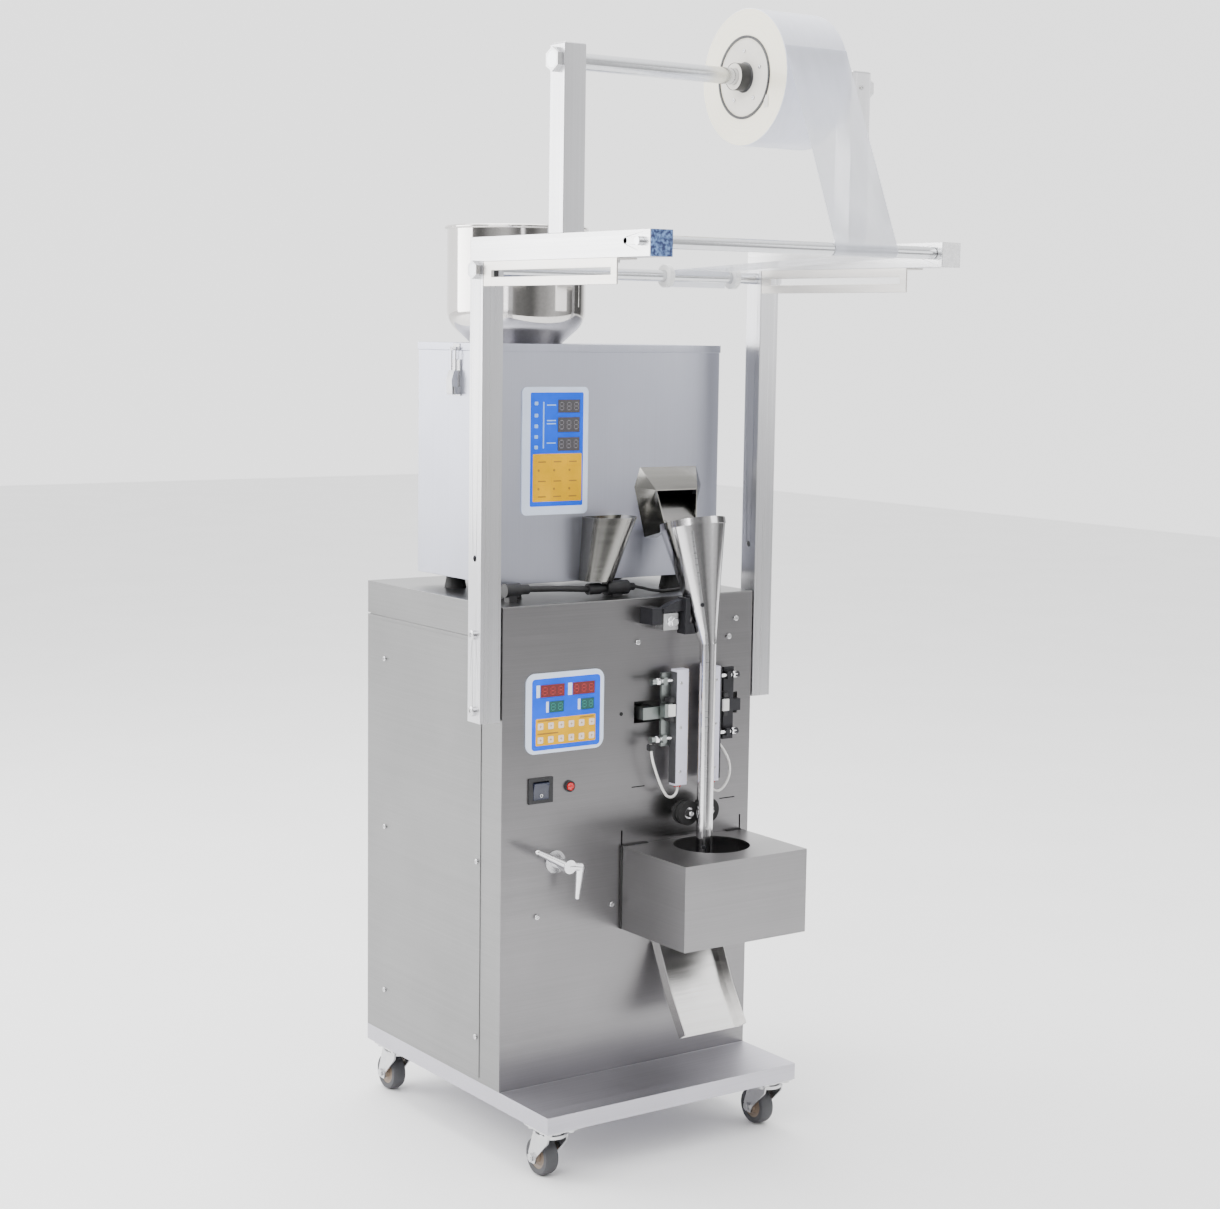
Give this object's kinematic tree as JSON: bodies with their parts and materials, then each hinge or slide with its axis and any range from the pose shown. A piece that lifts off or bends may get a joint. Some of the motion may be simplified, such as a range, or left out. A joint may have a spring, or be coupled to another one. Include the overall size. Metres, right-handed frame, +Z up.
{
  "type": "vertical form fill sealer",
  "caption": "Upright bagging machine on swivel casters: weigh filler and hopper on top, overhead film reel, forming tube, sealing jaws, guard and discharge slide.",
  "frame": {"origin": "on the floor under the middle of the machine's overall outline; the front panel is the plane Y = 0", "axes": "+X to the right of a person facing the machine, +Y from that person into the machine, +Z up"},
  "size_m": [0.482, 0.7, 1.4625],
  "materials": {
    "cabinet_sheet": "brushed sheet",
    "frame_tube": "brushed square tube",
    "polished_steel": "polished sheet",
    "bright_bar": "ground bar",
    "fastener": "plated",
    "roller_plug": "marbled blue",
    "collar_white": "smooth",
    "film": "translucent film",
    "film_wound": "wound film",
    "core_plug": "moulded",
    "casing_sheet": "fine satin",
    "foot_rubber": "moulded",
    "keypad_film": "printed membrane",
    "black_metal": "black",
    "sensor_case": "clear over white",
    "black_plastic": "moulded",
    "cable_jacket": "smooth jacket",
    "white_lead": "silicone",
    "drive_casting": "painted casting",
    "steel_work": "machined",
    "jaw_jacket": "coated",
    "carrier_dark": "dark finish",
    "wheel_rubber": "ribbed",
    "rocker_black": "moulded",
    "button_red": "domed",
    "lever_chrome": "polished",
    "caster_zinc": "zinc plated",
    "caster_tyre": "smooth tread"
  },
  "bodies": {
    "machine": {"base_tray": "cabinet_sheet", "front_panel": "cabinet_sheet", "side_panels": "cabinet_sheet", "back_panel": "cabinet_sheet", "top_cap": "cabinet_sheet", "lower_posts": "frame_tube", "arms": "frame_tube", "roll_posts": "frame_tube", "slotted_rails": "frame_tube", "roller_block": "roller_plug", "fixed_shafts": "bright_bar", "film_collars": "collar_white", "film_web": "film", "hardware": "fastener", "weigher_casing": "casing_sheet", "weigher_lid": "casing_sheet", "weigher_feet": "foot_rubber", "hopper": "polished_steel", "vibrating_tray": "steel_work", "weigh_bucket": "polished_steel", "front_funnel": "polished_steel", "side_chute": "polished_steel", "forming_tube": "polished_steel", "tube_bracket": "black_metal", "photo_eye": "sensor_case", "discharge_chute": "cabinet_sheet", "jaw_guide_rods": "steel_work", "gear_motor": "drive_casting", "keypads": "keypad_film", "panel_fittings": "black_plastic", "signal_cable": "cable_jacket", "caster_plates": "caster_zinc"},
    "film_reel": {"film_roll": "film_wound", "core_chucks": "core_plug"},
    "guide_roll": {"guide_roller": "bright_bar"},
    "jaw_left": {"jaw_carrier_left": "carrier_dark", "seal_bar_left": "jaw_jacket", "heater_lead_left": "white_lead"},
    "jaw_right": {"jaw_carrier_right": "carrier_dark", "seal_bar_right": "jaw_jacket", "heater_lead_right": "white_lead"},
    "pull_left": {"pull_wheel_left": "wheel_rubber"},
    "pull_right": {"pull_wheel_right": "wheel_rubber"},
    "cross_front": {"cross_jaw_front": "steel_work"},
    "cross_rear": {"cross_jaw_rear": "steel_work"},
    "cams": {"cam_shaft": "steel_work"},
    "lever": {"clamp_lever": "lever_chrome"},
    "switch_rocker": {"rocker": "rocker_black"},
    "start_button": {"push_button": "button_red"},
    "latch": {"latch_lever": "fastener"},
    "guard": {"guard_cover": "cabinet_sheet"},
    "flap": {"bucket_flap": "polished_steel"},
    "fork_front_left": {"caster_fork_front_left": "caster_zinc"},
    "wheel_front_left": {"caster_wheel_front_left": "caster_tyre"},
    "fork_front_right": {"caster_fork_front_right": "caster_zinc"},
    "wheel_front_right": {"caster_wheel_front_right": "caster_tyre"},
    "fork_back_left": {"caster_fork_back_left": "caster_zinc"},
    "wheel_back_left": {"caster_wheel_back_left": "caster_tyre"},
    "fork_back_right": {"caster_fork_back_right": "caster_zinc"},
    "wheel_back_right": {"caster_wheel_back_right": "caster_tyre"}
  },
  "joints": [
    {"name": "film_reel_spin", "type": "hinge", "parent": "machine", "child": "film_reel", "pos_m": [0, -0.16, 1.38], "axis": [1, 0, 0], "continuous": true},
    {"name": "guide_roll_spin", "type": "hinge", "parent": "machine", "child": "guide_roll", "pos_m": [0, -0.332, 1.169], "axis": [1, 0, 0], "continuous": true},
    {"name": "jaw_left_slide", "type": "slide", "parent": "machine", "child": "jaw_left", "axis": [1, 0, 0], "range_m": [0, 0.013]},
    {"name": "jaw_right_slide", "type": "slide", "parent": "machine", "child": "jaw_right", "axis": [-1, 0, 0], "range_m": [0, 0.013]},
    {"name": "pull_left_spin", "type": "hinge", "parent": "machine", "child": "pull_left", "pos_m": [0.074, -0.026, 0.435], "axis": [0, 1, 0], "continuous": true},
    {"name": "pull_right_spin", "type": "hinge", "parent": "machine", "child": "pull_right", "pos_m": [0.108, -0.026, 0.435], "axis": [0, 1, 0], "continuous": true},
    {"name": "cross_rear_slide", "type": "slide", "parent": "machine", "child": "cross_rear", "axis": [0, -1, 0], "range_m": [0, 0.014]},
    {"name": "cross_front_slide", "type": "slide", "parent": "machine", "child": "cross_front", "axis": [0, 1, 0], "range_m": [0, 0.014]},
    {"name": "cam_spin", "type": "hinge", "parent": "machine", "child": "cams", "pos_m": [0.091, 0.07, 0.24], "axis": [0, 1, 0], "continuous": true},
    {"name": "lever_turn", "type": "hinge", "parent": "machine", "child": "lever", "pos_m": [-0.118, 0, 0.387], "axis": [0, 1, 0], "range_deg": [-30, 90]},
    {"name": "rocker_tilt", "type": "hinge", "parent": "machine", "child": "switch_rocker", "pos_m": [-0.1415, 0.002, 0.483], "axis": [1, 0, 0], "range_deg": [-14, 0]},
    {"name": "button_press", "type": "slide", "parent": "machine", "child": "start_button", "axis": [0, 1, 0], "range_m": [0, 0.003], "stiffness_N_per_m": 250, "springref_m": -0.001},
    {"name": "latch_swing", "type": "hinge", "parent": "machine", "child": "latch", "pos_m": [-0.1785, 0.162, 0.989], "axis": [0, -1, 0], "range_deg": [0, 90]},
    {"name": "guard_lift", "type": "slide", "parent": "machine", "child": "guard", "axis": [0, 0, 1], "range_m": [0, 0.01]},
    {"name": "flap_open", "type": "hinge", "parent": "machine", "child": "flap", "pos_m": [0.099, 0.202, 0.8707], "axis": [1, 0, 0], "range_deg": [0, 70], "stiffness_Nm_per_rad": 0.06, "springref_deg": -51.57},
    {"name": "fork_swivel_front_left", "type": "hinge", "parent": "machine", "child": "fork_front_left", "pos_m": [-0.175, -0.085, 0.06], "axis": [0, 0, 1], "continuous": true},
    {"name": "wheel_spin_front_left", "type": "hinge", "parent": "fork_front_left", "child": "wheel_front_left", "pos_m": [-0.175, -0.065, 0.025], "axis": [1, 0, 0], "continuous": true},
    {"name": "fork_swivel_front_right", "type": "hinge", "parent": "machine", "child": "fork_front_right", "pos_m": [0.175, -0.085, 0.06], "axis": [0, 0, 1], "continuous": true},
    {"name": "wheel_spin_front_right", "type": "hinge", "parent": "fork_front_right", "child": "wheel_front_right", "pos_m": [0.175, -0.065, 0.025], "axis": [1, 0, 0], "continuous": true},
    {"name": "fork_swivel_back_left", "type": "hinge", "parent": "machine", "child": "fork_back_left", "pos_m": [-0.175, 0.305, 0.06], "axis": [0, 0, 1], "continuous": true},
    {"name": "wheel_spin_back_left", "type": "hinge", "parent": "fork_back_left", "child": "wheel_back_left", "pos_m": [-0.175, 0.325, 0.025], "axis": [1, 0, 0], "continuous": true},
    {"name": "fork_swivel_back_right", "type": "hinge", "parent": "machine", "child": "fork_back_right", "pos_m": [0.175, 0.305, 0.06], "axis": [0, 0, 1], "continuous": true},
    {"name": "wheel_spin_back_right", "type": "hinge", "parent": "fork_back_right", "child": "wheel_back_right", "pos_m": [0.175, 0.325, 0.025], "axis": [1, 0, 0], "continuous": true}
  ],
  "couplings": [
    {"joint": "jaw_right_slide", "follows": "jaw_left_slide", "ratio": 1},
    {"joint": "pull_right_spin", "follows": "pull_left_spin", "ratio": -1},
    {"joint": "cross_front_slide", "follows": "cross_rear_slide", "ratio": 1}
  ]
}
